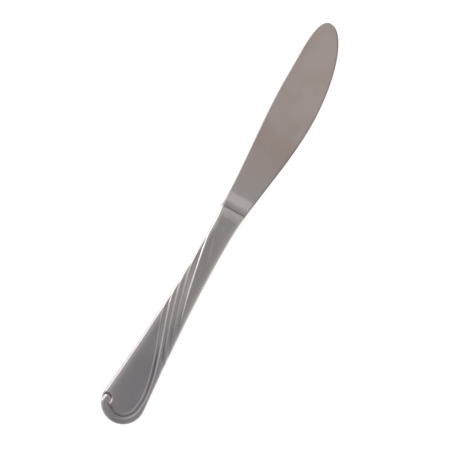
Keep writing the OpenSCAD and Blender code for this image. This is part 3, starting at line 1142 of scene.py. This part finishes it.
@dataclass
class Studio:
    """Plain pale floor, soft lamps and the camera over the knife."""

    drawing: Drawing
    # Camera: the picture's width and scale, the knife's turn in it, and what lies at its middle
    picture_px: int = 450
    mm_per_px: float = 0.4835
    knife_turn_deg: float = -60.0
    centre_x: float = 109.33
    centre_y: float = 0.18
    lens_mm: float = 300.0
    sensor_mm: float = 36.0
    # Floor, with its size in metres and the white that it adds to the camera and reflections
    floor_size: float = 6.0
    floor_lift: float = 0.84
    floor_colour: str = "#939393"
    # Brightness of the room by the part of the direction that points to the spine side
    room_across: tuple[float, ...] = (-1.0, -0.75, -0.45, -0.15, 0.0, 0.06, 0.2, 0.4, 0.7, 1.0)
    room_levels: tuple[float, ...] = (0.56, 0.475, 0.375, 0.335, 0.26, 0.315, 0.42, 0.56, 0.66, 0.8)
    # Lamps: levels, and sizes and places in metres
    light_turn_deg: float = 66.0
    key_level: float = 1.35
    key_size: tuple[float, float] = (1.7, 0.46)
    key_distance: float = 0.75
    key_height_deg: float = 17.0
    fill_level: float = 0.45
    fill_size: tuple[float, float] = (2.0, 2.0)
    neck_level: float = 0.34
    neck_size: tuple[float, float] = (0.17, 0.22)
    neck_at: tuple[float, float, float] = (0.115, -0.068, 0.18)

    def camera(self) -> None:
        """Set the camera straight over the knife, turned as the picture shows it."""
        width = self.picture_px * self.mm_per_px
        distance = self.lens_mm / self.sensor_mm * width
        middle = self.drawing.placed(np.array([[self.centre_x, self.centre_y, 0.0]]))[0]
        data = bpy.data.cameras.new("camera")
        data.lens = self.lens_mm
        data.sensor_width = self.sensor_mm
        camera = bpy.data.objects.new("camera", data)
        bpy.context.scene.collection.objects.link(camera)
        camera.location = Vector(middle) + Vector((0, 0, distance * MM))
        camera.rotation_euler = (0, 0, math.radians(self.knife_turn_deg))
        bpy.context.scene.camera = camera

    def lamp(
        self, name: str, level: float, size: tuple[float, float], place: Vector, turned: bool = False
    ) -> Piece:
        """Add a soft box.

        Args:
            name: Name of the lamp.
            level: Brightness of its face, where 1 is white.
            size: Width and height in metres.
            place: Centre of its face.
            turned: Whether the face looks at the knife and not straight down.

        Returns:
            The lamp.
        """
        data = bpy.data.lights.new(name, "AREA")
        data.shape = "RECTANGLE"
        data.size, data.size_y = size
        data.energy = level * math.pi * size[0] * size[1]
        lamp = bpy.data.objects.new(name, data)
        bpy.context.scene.collection.objects.link(lamp)
        lamp.visible_camera = False
        lamp.location = place
        if turned:
            lamp.rotation_euler = place.to_track_quat("Z", "Y").to_euler()
        return lamp

    def floor(self) -> None:
        """Lay the floor, white to the camera and in reflections."""
        bpy.ops.object.select_all(action="DESELECT")
        bpy.ops.mesh.primitive_plane_add(size=self.floor_size)
        floor = bpy.context.active_object
        floor.name = "floor"
        made = empty_material("white_paper_floor")
        tree = made.node_tree
        rays = add_node(tree, "ShaderNodeLightPath")
        seen = rays.outputs["Is Camera Ray"]
        for name in ("Is Glossy Ray", "Is Transmission Ray"):
            both = {0: seen, 1: rays.outputs[name]}
            seen = add_node(tree, "ShaderNodeMath", both, operation="MAXIMUM").outputs["Value"]
        lift = add_node(tree, "ShaderNodeMath", {0: seen, 1: self.floor_lift}, operation="MULTIPLY")
        glow = add_node(tree, "ShaderNodeEmission", {"Strength": lift.outputs["Value"]})
        paper = add_node(tree, "ShaderNodeBsdfDiffuse", {"Color": srgb(self.floor_colour)})
        layers = {0: glow.outputs["Emission"], 1: paper.outputs["BSDF"]}
        lit = add_node(tree, "ShaderNodeAddShader", layers)
        add_node(tree, "ShaderNodeOutputMaterial", {"Surface": lit.outputs["Shader"]})
        floor.data.materials.append(made)

    def graded(self, tree: Tree, part: Socket) -> Socket:
        """Turn one part of the direction, from -1 to 1, into the room's brightness.

        Args:
            tree: The node tree of the world.
            part: The part of the direction.

        Returns:
            The socket with the brightness.
        """
        share = add_node(tree, "ShaderNodeMapRange", {"Value": part, "From Min": -1.0})
        graded = add_node(tree, "ShaderNodeValToRGB", {"Fac": share.outputs["Result"]})
        stops = graded.color_ramp.elements
        while len(stops) < len(self.room_across):
            stops.new(0.5)
        for stop, at, level in zip(stops, self.room_across, self.room_levels):
            stop.position = (at + 1) / 2
            stop.color = (level, level, level, 1.0)
        return graded.outputs["Color"]

    def world(self) -> None:
        """Light the room in soft grades, and show white to the camera past the floor."""
        world = bpy.data.worlds.new("pale_room")
        bpy.context.scene.world = world
        world.use_nodes = True
        tree = world.node_tree
        tree.nodes.clear()
        look = add_node(tree, "ShaderNodeTexCoord")
        parts = add_node(tree, "ShaderNodeSeparateXYZ", {"Vector": look.outputs["Generated"]})
        graded = self.graded(tree, parts.outputs["Y"])
        rays = add_node(tree, "ShaderNodeLightPath")
        inputs = {0: rays.outputs["Is Camera Ray"], 6: graded, 7: (1.0, 1.0, 1.0, 1.0)}
        seen = add_node(tree, "ShaderNodeMix", inputs, data_type="RGBA")
        room = add_node(tree, "ShaderNodeBackground", {"Color": seen.outputs[2]})
        add_node(tree, "ShaderNodeOutputWorld", {"Surface": room.outputs["Background"]})

    def build(self) -> None:
        """Set up the whole studio."""
        bpy.context.scene.view_settings.view_transform = "Standard"
        self.floor()
        self.world()
        self.camera()
        turned, raised = math.radians(self.light_turn_deg), math.radians(self.key_height_deg)
        out = Vector((math.cos(turned), math.sin(turned), math.tan(raised))) * math.cos(raised)
        self.lamp("key_soft_box", self.key_level, self.key_size, out * self.key_distance, turned=True)
        self.lamp("neck_soft_box", self.neck_level, self.neck_size, Vector(self.neck_at))
        above = Vector((0, 0, self.key_distance))
        fill = self.lamp("overhead_fill", self.fill_level, self.fill_size, above)
        fill.visible_glossy = False


def dress(piece: Piece, finish: bpy.types.Material) -> None:
    """Give a piece one material in all its slots.

    Args:
        piece: The piece.
        finish: Its material.
    """
    if not piece.data.materials:
        piece.data.materials.append(finish)
    for slot in piece.material_slots:
        slot.material = finish


def main() -> None:
    """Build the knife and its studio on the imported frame."""
    logging.basicConfig(level=logging.INFO, format="%(name)s: %(message)s")
    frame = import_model()
    drawing = Drawing()
    form = HandleForm(length=drawing.handle_len)
    pattern = StruckPattern(form)
    handle_steel = POLISHED_HANDLE.material()
    for face, node in ((Face.FRONT, "handle_shell_front"), (Face.BACK, "handle_shell_back")):
        shell = StruckShell(drawing, form, pattern, face).build()
        dress(shell, handle_steel)
        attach(shell, "root")
        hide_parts(node)
        LOG.info("%s: %d faces", shell.name, len(shell.data.polygons))
    blade = GroundBlade(drawing, form).build()
    dress(blade, SATIN_BLADE.material())
    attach(blade, "root")
    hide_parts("blade")
    LOG.info("%s: %d faces", blade.name, len(blade.data.polygons))
    dress(frame["nodes"]["seam_braze"], GROUND_BRAZE.material())
    dress(frame["nodes"]["handle_filler"], CAST_CEMENT.material())
    Studio(drawing).build()


if __name__ == "__main__":
    main()
